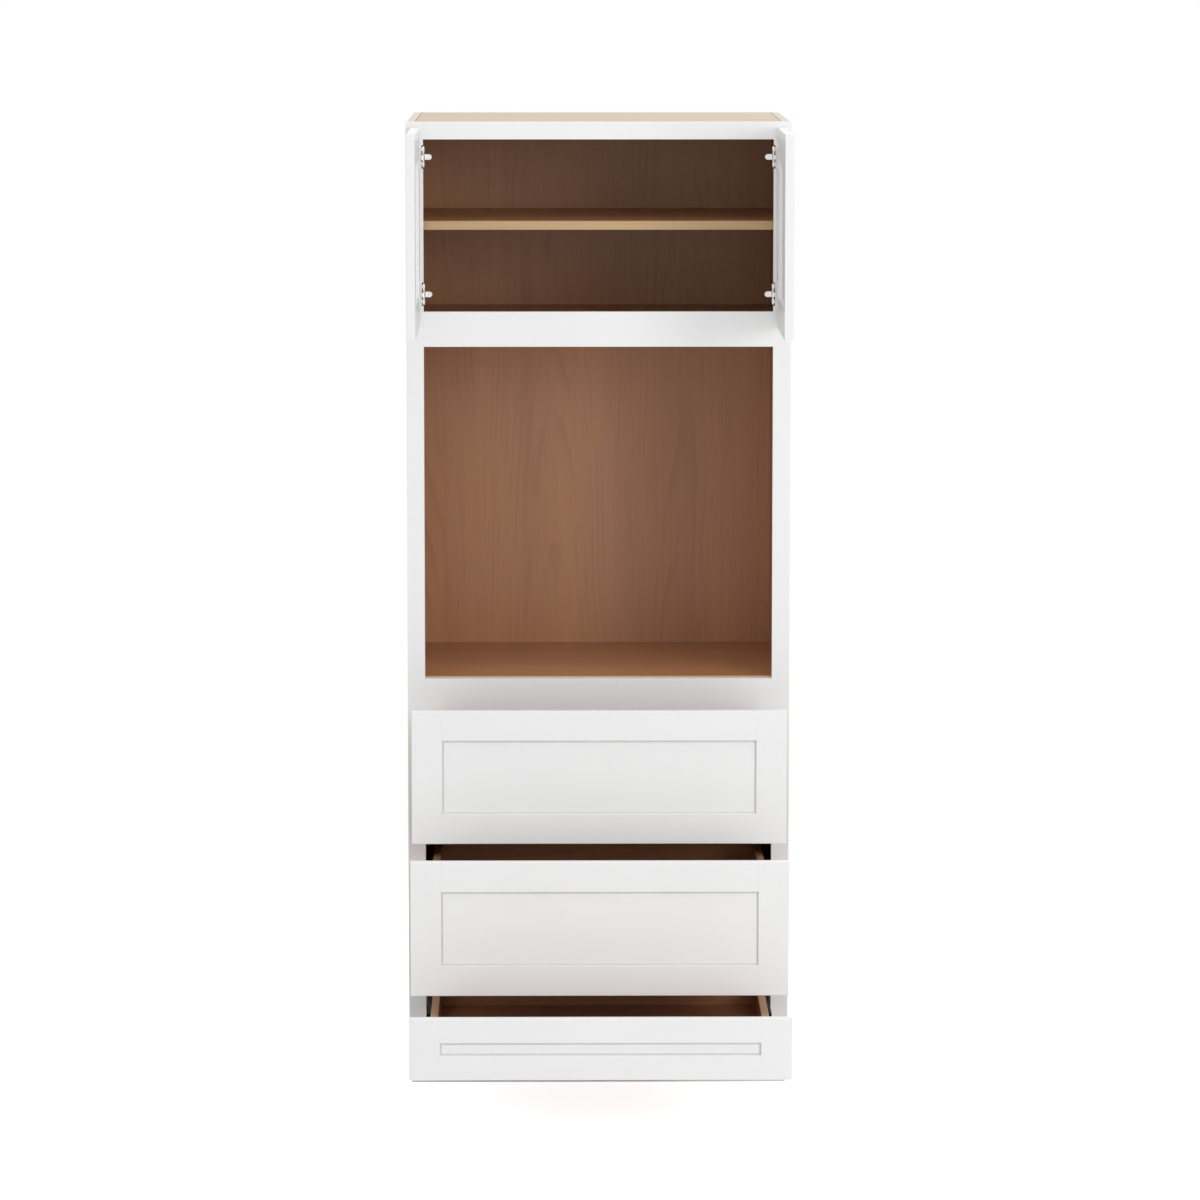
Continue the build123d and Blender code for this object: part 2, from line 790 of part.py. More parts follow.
# Face frame
frame_rails = {
    "frame_top_rail": [(door_opening_high, cabinet_height)],
    "frame_rail_above_oven": [(oven_opening_high, door_opening_low)],
    "frame_rail_below_oven": [(upper_opening_high, oven_opening_low)],
    "frame_drawer_rails": [
        (middle_opening_high, upper_opening_low),
        (bottom_opening_high, middle_opening_low),
    ],
    "frame_bottom_rail": [(toe_space_height, bottom_opening_low)],
}
rails_made = []
for rail_name, bands in frame_rails.items():
    frame_rail = make_frame_rails(*bands)
    finish(frame_rail, rail_name)
    rails_made.append(frame_rail)
finish_pair(make_frame_stile(rails_made, mounting_screws), "frame_stile")

# Hinges and doors
finish(cut_to_fit(make_hinge_plates(), mounting_screws), "hinge_plates")
finish(make_hinge_arms(), "hinge_arms")
make_door()

# Slides and drawers
cabinet_slide_members = make_channels(
    0, outer_channel_reach, outer_channel_height, outer_channel_lip, slide_middles, frame_front, slide_length
)
finish(cut_to_fit(cabinet_slide_members, mounting_screws), "cabinet_slide_members")

make_drawer(
    "upper_drawer", upper_opening_low, upper_opening_low - drawer_overlay,
    upper_opening_high + oven_rail_overlay, front_rail_width, deep_box_height, upper_drawer_open,
)
make_drawer(
    "middle_drawer", middle_opening_low, middle_opening_low - drawer_overlay,
    middle_opening_high + drawer_overlay, front_rail_width, deep_box_height, middle_drawer_open,
)
make_drawer(
    "bottom_drawer", bottom_opening_low, bottom_opening_low - outer_overlay,
    bottom_opening_high + drawer_overlay, shallow_rail_width, shallow_box_height, bottom_drawer_open,
)
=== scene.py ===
import math

import bmesh
import bpy
from mathutils import Matrix, Vector


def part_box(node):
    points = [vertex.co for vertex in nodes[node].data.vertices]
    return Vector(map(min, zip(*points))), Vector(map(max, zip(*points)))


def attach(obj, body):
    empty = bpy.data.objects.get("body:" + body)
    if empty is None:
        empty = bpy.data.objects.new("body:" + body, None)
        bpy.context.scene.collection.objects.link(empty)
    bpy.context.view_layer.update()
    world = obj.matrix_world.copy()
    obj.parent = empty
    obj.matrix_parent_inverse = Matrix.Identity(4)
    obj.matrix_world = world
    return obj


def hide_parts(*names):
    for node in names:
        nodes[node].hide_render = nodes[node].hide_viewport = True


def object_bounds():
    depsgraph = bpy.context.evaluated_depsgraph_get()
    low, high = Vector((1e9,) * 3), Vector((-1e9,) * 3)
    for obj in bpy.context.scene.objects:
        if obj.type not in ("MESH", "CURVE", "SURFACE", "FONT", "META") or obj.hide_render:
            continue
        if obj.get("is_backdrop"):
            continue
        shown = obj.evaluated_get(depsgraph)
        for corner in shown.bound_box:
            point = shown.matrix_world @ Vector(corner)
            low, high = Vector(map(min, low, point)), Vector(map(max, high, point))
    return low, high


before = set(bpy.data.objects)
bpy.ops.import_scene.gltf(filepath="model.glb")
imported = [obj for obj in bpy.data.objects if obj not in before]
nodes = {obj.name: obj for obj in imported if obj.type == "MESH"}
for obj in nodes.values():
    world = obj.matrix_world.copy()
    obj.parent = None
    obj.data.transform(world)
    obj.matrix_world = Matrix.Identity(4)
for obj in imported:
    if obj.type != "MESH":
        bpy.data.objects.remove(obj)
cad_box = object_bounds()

MM = 0.001
DRAWERS = ("upper_drawer", "middle_drawer", "bottom_drawer")
SIDES = {"left": -1, "right": 1}


def colour(red, green, blue):
    """A colour as a paint card gives it, 0 to 255, in the shader's linear values."""
    linear = [c / 3294.6 if c <= 10.31 else ((c / 255 + 0.055) / 1.055) ** 2.4 for c in (red, green, blue)]
    return (*linear, 1.0)


# Colours of the object's own materials: light and dark of each, and one for the joint line. The paler box
# top colour is painted light from above
WHITE_PAINT = colour(242, 242, 242), colour(239, 239, 239)
MAPLE_VENEER = colour(196, 145, 104), colour(174, 123, 84)
EDGE_BAND = colour(197, 166, 124), colour(179, 147, 106)
RAW_MAPLE = colour(217, 202, 183), colour(198, 178, 154)
PLY_LAYERS = colour(206, 178, 140), colour(158, 124, 90)
BOX_MAPLE = colour(178, 128, 92), colour(156, 106, 72)
# Painted light: a paler maple for the up-facing top edges of the drawer boxes, standing in for light from
# above
BOX_TOP_PAINTED_LIGHT = colour(206, 160, 112), colour(184, 138, 92)
END_GRAIN = colour(158, 112, 74), colour(140, 96, 62)
BARE_WOOD = colour(216, 198, 172), colour(190, 164, 132)
JOINT_LINE = colour(96, 74, 54)
BLACK_COAT = colour(21, 21, 22), colour(12, 12, 13)
ZINC = colour(196, 198, 204), colour(176, 179, 188)
NICKEL = colour(248, 247, 245), colour(236, 235, 233)
CLEAR_BUMPER = colour(226, 228, 230), colour(206, 209, 212)

# A surface faces an axis when the part of its normal along that axis is more than this
FACING = 0.6


class Term:
    """One output of a shader node. Sums and products of terms add the Math nodes that work them out."""

    def __init__(self, finish, socket):
        self.finish = finish
        self.socket = socket

    def math(self, operation, *values):
        return self.finish.node("ShaderNodeMath", {"operation": operation}, dict(enumerate(values)))

    def __add__(self, other):
        return self.math("ADD", self, other)

    def __radd__(self, other):
        return self.math("ADD", other, self)

    def __sub__(self, other):
        return self.math("SUBTRACT", self, other)

    def __rsub__(self, other):
        return self.math("SUBTRACT", other, self)

    def __mul__(self, other):
        return self.math("MULTIPLY", self, other)

    def __rmul__(self, other):
        return self.math("MULTIPLY", other, self)

    def __truediv__(self, other):
        return self.math("DIVIDE", self, other)

    def __pow__(self, other):
        return self.math("POWER", self, other)

    def __gt__(self, other):
        return self.math("GREATER_THAN", self, other)

    def __abs__(self):
        return self.math("ABSOLUTE", self)

    def floor(self):
        return self.math("FLOOR", self)

    def fraction(self):
        return self.math("FRACT", self)


class Finish:
    """A material, or the world, under construction: node() adds any node, the rest are shorthands."""

    def __init__(self, name, library="materials"):
        self.owner = getattr(bpy.data, library).new(name)
        self.owner.use_nodes = True
        self.tree = self.owner.node_tree
        self.tree.nodes.clear()
        self.known = {}

    def node(self, kind, settings, sockets, output=0):
        """Adds a node: settings first, then the values or links of its sockets. Returns one output."""
        made = self.tree.nodes.new(kind)
        for name, value in settings.items():
            setattr(made, name, value)
        for name, value in sockets.items():
            if isinstance(value, Term):
                self.tree.links.new(value.socket, made.inputs[name])
            else:
                made.inputs[name].default_value = value
        return Term(self, made.outputs[output])

    def coordinates(self, kind):
        """x, y and z of the place on the object, in metres, or of the direction that the surface faces."""
        if kind not in self.known:
            vector = self.node("ShaderNodeTexCoord", {}, {}, kind)
            split = self.node("ShaderNodeSeparateXYZ", {}, {"Vector": vector})
            self.known[kind] = [Term(self, output) for output in split.socket.node.outputs]
        return self.known[kind]

    def place(self):
        return self.coordinates("Object")

    def faces(self, axis, sign):
        """1 where the surface faces along an axis: one way, or either way where sign is 0."""
        direction = self.coordinates("Normal")["XYZ".index(axis)]
        return (direction * sign if sign else abs(direction)) > FACING

    def vector(self, x, y, z):
        return self.node("ShaderNodeCombineXYZ", {}, {"X": x, "Y": y, "Z": z})

    def noise(self, vector, detail=2.0, roughness=0.5):
        sockets = {"Vector": vector, "Scale": 1.0, "Detail": detail, "Roughness": roughness}
        return self.node("ShaderNodeTexNoise", {}, sockets)

    def grit(self, scale, detail=1.0):
        """Noise that is as fine along all three axes."""
        x, y, z = self.place()
        return self.noise(self.vector(x * scale, y * scale, z * scale), detail)

    def drawn_noise(self, along, fine, coarse, detail=2.0, roughness=0.5, seed=0.0):
        """Noise drawn out along one axis."""
        scaled = [
            place * (coarse if axis == along else fine) + seed for axis, place in zip("XYZ", self.place())
        ]
        return self.noise(self.vector(*scaled), detail, roughness)

    def ramp(self, value, low, high):
        """0 below low, 1 above high and a soft step between."""
        settings = {"interpolation_type": "SMOOTHSTEP"}
        return self.node("ShaderNodeMapRange", settings, {"Value": value, "From Min": low, "From Max": high})

    def mix(self, factor, first, second):
        """Mixes two colours."""
        return self.node("ShaderNodeMix", {"data_type": "RGBA"}, {0: factor, 6: first, 7: second}, 2)

    def shade(self, tone, pair):
        """A colour between the dark and the light one of a pair."""
        light, dark = pair
        return self.mix(self.ramp(tone, 0.0, 1.0), dark, light)

    def bump(self, height, depth, strength=1.0):
        return self.node("ShaderNodeBump", {}, {"Height": height, "Distance": depth, "Strength": strength})

    def close(self, kind, shader):
        """Links the finished shader to the output of the material or the world."""
        output = self.tree.nodes.new(kind)
        self.tree.links.new(shader.socket, output.inputs["Surface"])

    def done(self, **sockets):
        """Closes the material with the plain shader; names with a space are written with an underscore."""
        named = {name.replace("_", " "): value for name, value in sockets.items()}
        self.close("ShaderNodeOutputMaterial", self.node("ShaderNodeBsdfPrincipled", {}, named))
        return self.owner


# Wood. Numbers that multiply a place are noise cells per metre.
RING_WIDTH = 8.5 * MM
LEAF_SHIFT = 90 * MM
RING_WANDER = 50 * MM
HEART_DEPTH = 20 * MM
HEART_WANDER = 35 * MM
HEART_SLOPE = 0.036
VENEER_LEAF = 280 * MM
BOX_BOARD = 90 * MM
PLY_COUNT = 7
JOINT_HALF = 0.7 * MM


def maple_figure(finish, along, across, seed, leaf):
    """Tone of flat-cut maple, 0 dark to 1 light: fibre, slow drift, faint arched rings and flecks."""
    place = dict(zip("XYZ", finish.place()))
    through = next(axis for axis in "XYZ" if axis not in (along, across))
    x, t, z = place[across], place[through], place[along]
    wander = finish.noise(finish.vector(x * 5 + seed, t * 5, z * 1.3), 1.0)
    shifted = x / leaf + seed * 0.37
    leaf_number = shifted.floor()
    one_value = {"noise_dimensions": "1D"}
    chance = finish.node("ShaderNodeTexWhiteNoise", one_value, {"W": leaf_number + seed}, "Value")
    from_heart = (shifted - leaf_number - 0.5) * leaf + (chance - 0.5) * LEAF_SHIFT
    from_heart = from_heart + (wander - 0.5) * RING_WANDER
    cut_depth = HEART_DEPTH + (z + chance * 3.1) * HEART_SLOPE + wander * HEART_WANDER
    ring = ((from_heart * from_heart + cut_depth * cut_depth) ** 0.5 / RING_WIDTH).fraction()
    ring_line = finish.ramp(ring, 0.5, 0.95) * finish.ramp(ring, 1.0, 0.97)
    broken = finish.noise(finish.vector(x * 26, t * 26 + seed, z * 4), 2.0)
    drift = finish.noise(finish.vector(x * 9 - seed, t * 9, z * 0.7), 2.0)
    streak = finish.drawn_noise(along, 110, 1.6, 2.0, 0.6, seed)
    fibre = finish.drawn_noise(along, 560, 8, 3.0, 0.6, seed)
    fleck = finish.drawn_noise(along, 260, 14, 1.0, 0.5, seed)
    tone = 0.5 + (drift - 0.5) * 0.7 + (streak - 0.5) * 0.35 + (fibre - 0.5) * 0.6
    tone = tone - ring_line * finish.ramp(broken, 0.4, 0.72) * 0.3
    return tone - finish.ramp(fleck, 0.68, 0.8) * 0.45


def ply_layers(finish, node, axis):
    """Colour of the layers in a plywood edge, whose thickness runs along an axis."""
    low, high = (corner["XYZ".index(axis)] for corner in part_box(node))
    depth = finish.place()["XYZ".index(axis)]
    layer = ((depth - low) * (PLY_COUNT / (high - low))).floor()
    return finish.mix((layer / 2).fraction() * 1.5 + finish.grit(300, 2.0) * 0.35, *PLY_LAYERS)


def maple_board(node, along, across, seed, face=MAPLE_VENEER, bare=False, strips=(), joint_at=None):
    """Maple plywood, clear-coated or bare, whose edges show the layers.

    Strips, as (axis, sign, colours), cover the side that faces that way. A fine dark joint line can run on
    the top, at a distance from the middle.
    """
    finish = Finish(f"{node}_maple")
    through = next(axis for axis in "XYZ" if axis not in (along, across))
    tone = maple_figure(finish, along, across, seed, VENEER_LEAF)
    on_face = finish.faces(through, 0)
    base = finish.mix(on_face, ply_layers(finish, node, through), finish.shade(tone, face))
    coated = on_face
    for axis, sign, colours in strips:
        covered = finish.faces(axis, sign)
        base = finish.mix(covered, base, finish.shade(tone, colours))
        coated = coated.math("MAXIMUM", coated, covered)
    if joint_at:
        from_joint = abs(abs(finish.place()[0]) - joint_at)
        line = (1 - finish.ramp(from_joint, JOINT_HALF, 2 * JOINT_HALF)) * finish.faces("Z", 1)
        base = finish.mix(line, base, JOINT_LINE)
    if bare:
        return finish.done(
            Base_Color=base,
            Roughness=0.72 + (tone - 0.5) * 0.1,
            Normal=finish.bump(tone, 0.1 * MM, 0.5),
        )
    return finish.done(
        Base_Color=base,
        Roughness=0.7 - coated * 0.28 + (tone - 0.5) * 0.08,
        Coat_Weight=coated * 0.25,
        Coat_Roughness=0.25,
        Normal=finish.bump(tone, 0.06 * MM, 0.5),
    )


def solid_maple(node, along, across, seed):
    """Lacquered solid maple with painted light: a paler colour on the up-facing top edges, and darker where
    the grain ends at the surface.
    """
    finish = Finish(f"{node}_solid_maple")
    tone = maple_figure(finish, along, across, seed, BOX_BOARD)
    at_end = finish.faces(along, 0)
    # Up-facing faces get the paler colour: painted light from above, not a different wood
    base = finish.mix(finish.faces("Z", 1), finish.shade(tone, BOX_MAPLE), finish.shade(tone, BOX_TOP_PAINTED_LIGHT))
    return finish.done(
        Base_Color=finish.mix(at_end, base, finish.mix(finish.grit(900, 2.0), *END_GRAIN)),
        Roughness=0.45 + (tone - 0.5) * 0.1 + at_end * 0.2,
        Coat_Weight=0.2 - at_end * 0.15,
        Coat_Roughness=0.3,
        Normal=finish.bump(tone, 0.06 * MM, 0.5),
    )


# Paint, metal and plastic
def white_paint(name, along):
    """Satin paint over maple: a fine sprayed texture, and the grain below it just telegraphing through."""
    finish = Finish(name)
    print_through = finish.drawn_noise(along, 420, 9, 2.0, 0.6)
    spray = finish.grit(900)
    clouds = finish.grit(6, 2.0)
    return finish.done(
        Base_Color=finish.shade(clouds, WHITE_PAINT),
        Roughness=0.34 + clouds * 0.1 + spray * 0.06,
        Normal=finish.bump(spray * 0.6 + print_through * 0.4, 0.05 * MM, 0.35),
    )


def plated_steel(name, along, colours, roughness):
    """Plated strip steel with fine drawing lines along its length and a faint mottle."""
    finish = Finish(name)
    lines = finish.drawn_noise(along, 1600, 12)
    mottle = finish.grit(60, 3.0)
    return finish.done(
        Base_Color=finish.mix(mottle * 0.8 + lines * 0.2, *colours),
        Metallic=1.0,
        Roughness=roughness + (lines - 0.5) * 0.16 + (mottle - 0.5) * 0.1,
        Normal=finish.bump(lines, 0.02 * MM, 0.4),
    )


def coated_steel(name, colours):
    """Rolled steel under a thin black coat, a little smoother where the balls run."""
    finish = Finish(name)
    lines = finish.drawn_noise("Y", 1400, 10)
    mottle = finish.grit(90, 3.0)
    track = finish.faces("Z", 0)
    return finish.done(
        Base_Color=finish.shade(mottle, colours),
        Roughness=0.62 + (lines - 0.5) * 0.2 - track * 0.06,
        Specular_IOR_Level=0.1,
        Normal=finish.bump(lines * 0.6 + mottle * 0.4, 0.02 * MM, 0.4),
    )


def moulded_plastic(name, colours, roughness):
    """Moulded plastic with a fine matt skin."""
    finish = Finish(name)
    skin = finish.grit(2500)
    return finish.done(
        Base_Color=finish.mix(finish.grit(70), *colours),
        Roughness=roughness + (skin - 0.5) * 0.12,
        Normal=finish.bump(skin, 0.02 * MM, 0.4),
    )


# Finishes of the solids
WELDED = 0.01 * MM
SHARP_FROM = math.radians(40)
EASED_PAINT = 0.35 * MM
EASED_BOARD = 0.25 * MM
EASED_SHELF = 0.5 * MM
EASED_TOP = 0.1 * MM
EASED_BOX = 0.4 * MM


def dress(node, material, eased=0.0):
    """Gives a CAD node its finish and rounds its sharp edges a little, as sanding or spraying does."""
    mesh = nodes[node].data
    mesh.materials.clear()
    mesh.materials.append(material)
    if eased:
        weld = nodes[node].modifiers.new("one_skin", "WELD")
        weld.merge_threshold = WELDED
        bevel = nodes[node].modifiers.new("eased_edges", "BEVEL")
        bevel.width = eased
        bevel.segments = 2
        bevel.limit_method = "ANGLE"
        bevel.angle_limit = SHARP_FROM


grain_of_painted = {
    "left_frame_stile": "Z", "right_frame_stile": "Z", "frame_top_rail": "X", "frame_rail_above_oven": "X",
    "frame_rail_below_oven": "X", "frame_drawer_rails": "X", "frame_bottom_rail": "X", "toe_kick_board": "X",
}
for side in SIDES:
    for piece, axis in (("stiles", "Z"), ("rails", "Y"), ("panel", "Z")):
        grain_of_painted[f"{side}_door_{piece}"] = axis
for drawer in DRAWERS:
    for piece, axis in (("stiles", "Z"), ("rails", "X"), ("panel", "X")):
        grain_of_painted[f"{drawer}_front_{piece}"] = axis
paints = {axis: white_paint(f"white_paint_grain_{axis.lower()}", axis) for axis in "XYZ"}
for node, axis in grain_of_painted.items():
    dress(node, paints[axis], EASED_PAINT)

# Case: the sides are white outside, maple inside and bare on top
side_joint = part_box("right_side_panel")[0].x
for (side, sign), seed in zip(SIDES.items(), (3.0, 8.0)):
    node = f"{side}_side_panel"
    strips = (("Z", 1, RAW_MAPLE), ("X", sign, WHITE_PAINT))
    dress(node, maple_board(node, "Z", "Y", seed, strips=strips, joint_at=side_joint), EASED_BOARD)
dress("back_panel", maple_board("back_panel", "Z", "X", 5.2), EASED_BOARD)
for node, seed in (("upper_deck", 11.0), ("oven_deck", 13.5), ("bottom_deck", 17.0)):
    dress(node, maple_board(node, "X", "Y", seed), EASED_BOARD)
shelf_edge = (("Y", -1, EDGE_BAND),)
dress("adjustable_shelf", maple_board("adjustable_shelf", "X", "Y", 21.0, strips=shelf_edge), EASED_SHELF)
bare_top = maple_board("top_panel", "X", "Y", 23.0, RAW_MAPLE, bare=True, joint_at=side_joint)
dress("top_panel", bare_top, EASED_TOP)
hidden_strips = (("hanging_rails", "X", 27.0), ("slide_cleats", "Y", 29.0), ("oven_deck_cleats", "Y", 31.0))
for node, along, seed in hidden_strips:
    dress(node, maple_board(node, along, "Z", seed, BARE_WOOD, bare=True), EASED_BOARD)

# Drawer boxes
for number, drawer in enumerate(DRAWERS):
    for piece, along in (("box_sides", "Y"), ("box_ends", "X")):
        node = f"{drawer}_{piece}"
        dress(node, solid_maple(node, along, "Z", 40.0 + 7 * number), EASED_BOX)
    node = f"{drawer}_box_bottom"
    dress(node, maple_board(node, "X", "Y", 61.0 + number, BOX_MAPLE))

# Metal and plastic
zinc = plated_steel("zinc_plated_steel", "Y", ZINC, 0.3)
nickel = plated_steel("nickel_plated_steel", "Z", NICKEL, 0.3)
black_coat = coated_steel("black_coated_steel", BLACK_COAT)
clear_bumper = moulded_plastic("clear_bumper", CLEAR_BUMPER, 0.3)
dress("cabinet_slide_members", black_coat)
for drawer in DRAWERS:
    dress(f"{drawer}_slide_members", black_coat)
    dress(f"{drawer}_middle_members", black_coat)
for node in ("hinge_plates", "hinge_arms", "shelf_pins"):
    dress(node, nickel)
for side in SIDES:
    dress(f"{side}_door_hinge_cups", nickel)
    dress(f"{side}_door_bumpers", clear_bumper)


# Small hardware, made once and set in place many times
CREASE_FROM = math.radians(32)
SCREW_HEAD = 1.2 * MM
SLIDE_STEEL = 1.2 * MM


def add_piece(name, shape, material, body, slot, *stands_for):
    """Turns a shape into a piece that rides on a body and may stand for nodes of the frame."""
    mesh = bpy.data.meshes.new(name)
    shape.normal_update()
    shape.to_mesh(mesh)
    shape.free()
    mesh.shade_smooth()
    mesh.set_sharp_from_angle(angle=CREASE_FROM)
    mesh.materials.append(material)
    piece = bpy.data.objects.new(name, mesh)
    bpy.context.scene.collection.objects.link(piece)
    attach(piece, body)
    if stands_for:
        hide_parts(*stands_for)
    return piece


def turned(shape, rings, count=24, open_top=False):
    """Adds a turned form along Z from (radius, height) rings, bottom first. Returns its top ring."""
    loops = []
    for radius, height in rings:
        angles = [2 * math.pi * i / count for i in range(count)]
        loops.append([shape.verts.new((radius * math.cos(a), radius * math.sin(a), height)) for a in angles])
    for low, high in zip(loops, loops[1:]):
        for i in range(count):
            following = (i + 1) % count
            shape.faces.new((low[i], low[following], high[following], high[i]))
    shape.faces.new(reversed(loops[0]))
    if not open_top:
        shape.faces.new(loops[-1])
    return loops[-1]


def cross_ring(shape, reach, half_width, height):
    """Corners of a cross, in order."""
    corners = []
    for quarter in range(4):
        turn = Matrix.Rotation(quarter * math.pi / 2, 3, "Z")
        for x, y in ((reach, -half_width), (reach, half_width), (half_width, half_width)):
            corners.append(shape.verts.new(turn @ Vector((x, y, height))))
    return corners


def cut_cross(shape, rim, reach, half_width, top, depth):
    """Closes a turned form's top ring with a flat that has a tapered cross recess in it."""
    mouth = cross_ring(shape, reach, half_width, top)
    foot = cross_ring(shape, reach * 0.45, half_width * 0.6, top - depth)
    for i in range(len(mouth)):
        following = (i + 1) % len(mouth)
        shape.faces.new((mouth[i], mouth[following], foot[following], foot[i]))
    shape.faces.new(foot)
    loops = [rim, mouth]
    edges = [shape.edges.get((loop[i - 1], loop[i])) for loop in loops for i in range(len(loop))]
    bmesh.ops.triangle_fill(shape, use_beauty=True, use_dissolve=False, edges=edges, normal=(0, 0, 1))


def pan_screw(head_radius, head_height, shank_radius, length):
    """A wood screw: a domed head with a cross recess, on the plane z = 0, and a threaded shank below."""
    shape = bmesh.new()
    pitch = shank_radius * 1.4
    root, neck = 0.62 * shank_radius, 0.72 * shank_radius
    tip = min(length * 0.25, 4 * shank_radius)
    rings = [(0.08 * shank_radius, -length)]
    height = -length + tip * 0.5
    while height < -1.6 * pitch:
        grown = min(1.0, (height + length) / tip)
        rings += [(root * grown, height), (shank_radius * grown, height + 0.35 * pitch),
                  (root * grown, height + 0.7 * pitch)]
        height += pitch
    rings += [(neck, height), (neck, 0.0), (head_radius, 0.0)]
    dome = [(1.0, 0.28), (0.965, 0.52), (0.88, 0.76), (0.74, 0.92), (0.58, 1.0)]
    rings += [(head_radius * r, head_height * h) for r, h in dome]
    rim = turned(shape, rings, open_top=True)
    cut_cross(shape, rim, head_radius * 0.47, head_radius * 0.1, head_height, head_height * 0.85)
    return shape


def rounded_pin(radius, length):
    """A pin along Z, centred, with domed ends."""
    shape = bmesh.new()
    half = length / 2
    dome = [(0.35, 0.0), (0.7, 0.1), (0.92, 0.28), (1.0, 0.55)]
    ends = [(radius * r, radius * h) for r, h in dome]
    rings = [(r, h - half) for r, h in ends] + [(r, half - h) for r, h in reversed(ends)]
    turned(shape, rings)
    return shape


def set_in_place(template, places):
    """One shape with a copy of the template at each (origin, direction of its Z axis)."""
    gathered = bmesh.new()
    mould = bpy.data.meshes.new("mould")
    template.to_mesh(mould)
    template.free()
    for origin, direction in places:
        turn = Vector(direction).to_track_quat("Z", "Y").to_matrix().to_4x4()
        known = len(gathered.verts)
        gathered.from_mesh(mould)
        gathered.verts.ensure_lookup_table()
        bmesh.ops.transform(gathered, matrix=Matrix.Translation(origin) @ turn, verts=gathered.verts[known:])
    bpy.data.meshes.remove(mould)
    return gathered


def solids_of(node):
    """(lowest corner, highest corner) of each separate solid in a node."""
    shape = bmesh.new()
    shape.from_mesh(nodes[node].data)
    bmesh.ops.remove_doubles(shape, verts=shape.verts, dist=WELDED)
    left, boxes = set(shape.verts), []
    while left:
        grown, edge = set(), [next(iter(left))]
        while edge:
            vertex = edge.pop()
            if vertex not in grown:
                grown.add(vertex)
                edge += [link.other_vert(vertex) for link in vertex.link_edges]
        left -= grown
        corners = [[f(v.co[i] for v in grown) for i in range(3)] for f in (min, max)]
        boxes.append((Vector(corners[0]), Vector(corners[1])))
    shape.free()
    return sorted(boxes, key=lambda box: tuple(round(c, 5) for c in (*box[0], *box[1])))


def screw_seats(boxes):
    """Where the heads of sideways screws stand: on their inner ends, and which way they look."""
    seats = []
    for low, high in boxes:
        middle = (low + high) / 2
        inwards = -1 if middle.x > 0 else 1
        inner_end = low.x if inwards < 0 else high.x
        seats.append(((inner_end - inwards * SCREW_HEAD, middle.y, middle.z), (inwards, 0, 0)))
    return seats


def wood_screws(places):
    """The one size of screw that holds plates, cups, slides and fronts, at each place."""
    screw = pan_screw(head_radius=3.5 * MM, head_height=SCREW_HEAD, shank_radius=1.75 * MM, length=14 * MM)
    return set_in_place(screw, places)


add_piece("case_screws", wood_screws(screw_seats(solids_of("mounting_screws"))), zinc, "cabinet",
          "zinc_plated_steel", "mounting_screws")
for side in SIDES:
    node = f"{side}_door_hinge_fixings"
    boxes = solids_of(node)
    pins = [box for box in boxes if box[1].z - box[0].z > box[1].x - box[0].x]
    cup_screws = [box for box in boxes if box not in pins]
    shape = wood_screws(screw_seats(cup_screws))
    pin_places = [((low + high) / 2, (0, 0, 1)) for low, high in pins]
    radius, length = (pins[0][1].x - pins[0][0].x) / 2, pins[0][1].z - pins[0][0].z
    pin_mesh = bpy.data.meshes.new("pins")
    set_in_place(rounded_pin(radius, length), pin_places).to_mesh(pin_mesh)
    shape.from_mesh(pin_mesh)
    bpy.data.meshes.remove(pin_mesh)
    add_piece(f"{side}_door_cup_screws_and_pins", shape, nickel, f"{side}_door", "nickel_plated_steel", node)

# Adjusting screws, sunk into the rounded tips of the hinge arms
ADJUSTER_SUNK = 0.7 * MM
ADJUSTER_SETBACKS = (5.0 * MM, 15.5 * MM)
adjuster = pan_screw(head_radius=2.6 * MM, head_height=0.9 * MM, shank_radius=1.5 * MM, length=5 * MM)
frame_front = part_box("frame_top_rail")[0].y
adjuster_places = []
for low, high in solids_of("hinge_arms"):
    inwards = -1 if low.x > 0 else 1
    head = (low.x if inwards < 0 else high.x) - inwards * ADJUSTER_SUNK
    level = (low.z + high.z) / 2
    adjuster_places += [((head, frame_front + back, level), (inwards, 0, 0)) for back in ADJUSTER_SETBACKS]
add_piece("hinge_adjusting_screws", set_in_place(adjuster, adjuster_places), nickel, "cabinet",
          "nickel_plated_steel")

# Screws of the drawers: through the slide members into the box, and from inside the box into the front
BOX_WALL = 16 * MM
SHALLOW_BOX = 100 * MM
SLIDE_SCREW_SETBACKS = (45 * MM, 237 * MM, 429 * MM)
FRONT_SCREWS_ACROSS = (-290 * MM, -100 * MM, 100 * MM, 290 * MM)
for drawer in DRAWERS:
    low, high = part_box(f"{drawer}_slide_members")
    box_low, box_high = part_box(f"{drawer}_box_ends")
    box_height = box_high.z - box_low.z
    level = (low.z + high.z) / 2
    outwards = [((sign * (box_high.x + SLIDE_STEEL), low.y + back, level), (sign, 0, 0))
                for sign in SIDES.values() for back in SLIDE_SCREW_SETBACKS]
    shares = (0.5,) if box_height < SHALLOW_BOX else (0.28, 0.78)
    rearwards = [((x, box_low.y + BOX_WALL, box_low.z + share * box_height), (0, 1, 0))
                 for x in FRONT_SCREWS_ACROSS for share in shares]
    add_piece(f"{drawer}_screws", wood_screws(outwards + rearwards), zinc, drawer, "zinc_plated_steel")

